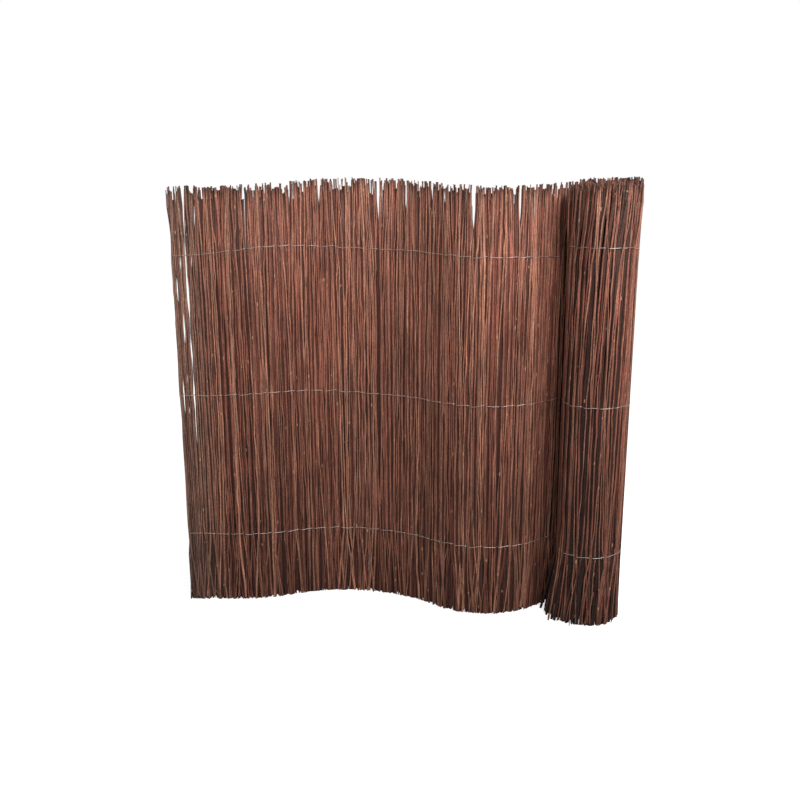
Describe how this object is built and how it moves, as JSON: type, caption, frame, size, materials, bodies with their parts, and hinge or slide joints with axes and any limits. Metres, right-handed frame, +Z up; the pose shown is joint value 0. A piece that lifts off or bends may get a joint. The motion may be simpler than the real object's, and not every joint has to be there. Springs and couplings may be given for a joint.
{
  "type": "reed screen",
  "caption": "Garden screen of thin unpeeled willow rods bound into a mat by rows of wire, standing open in a shallow wave with the rest still rolled up at one end.",
  "frame": {"origin": "on the ground under the middle of the whole screen's bounding box", "axes": "+X along the screen from its free end to the roll, +Y away from the front, +Z up along the rods"},
  "size_m": [1.5422, 0.2902, 1.5],
  "materials": {
    "willow_rods": "unpeeled willow bark, dry, red-brown to grey-brown, satin",
    "binding_wire": "dull galvanised wire"
  },
  "bodies": {
    "root": {"reed_mat": "willow_rods", "top_wire_front": "binding_wire", "top_wire_back": "binding_wire", "middle_wire_front": "binding_wire", "middle_wire_back": "binding_wire", "bottom_wire_front": "binding_wire", "bottom_wire_back": "binding_wire"}
  },
  "joints": []
}
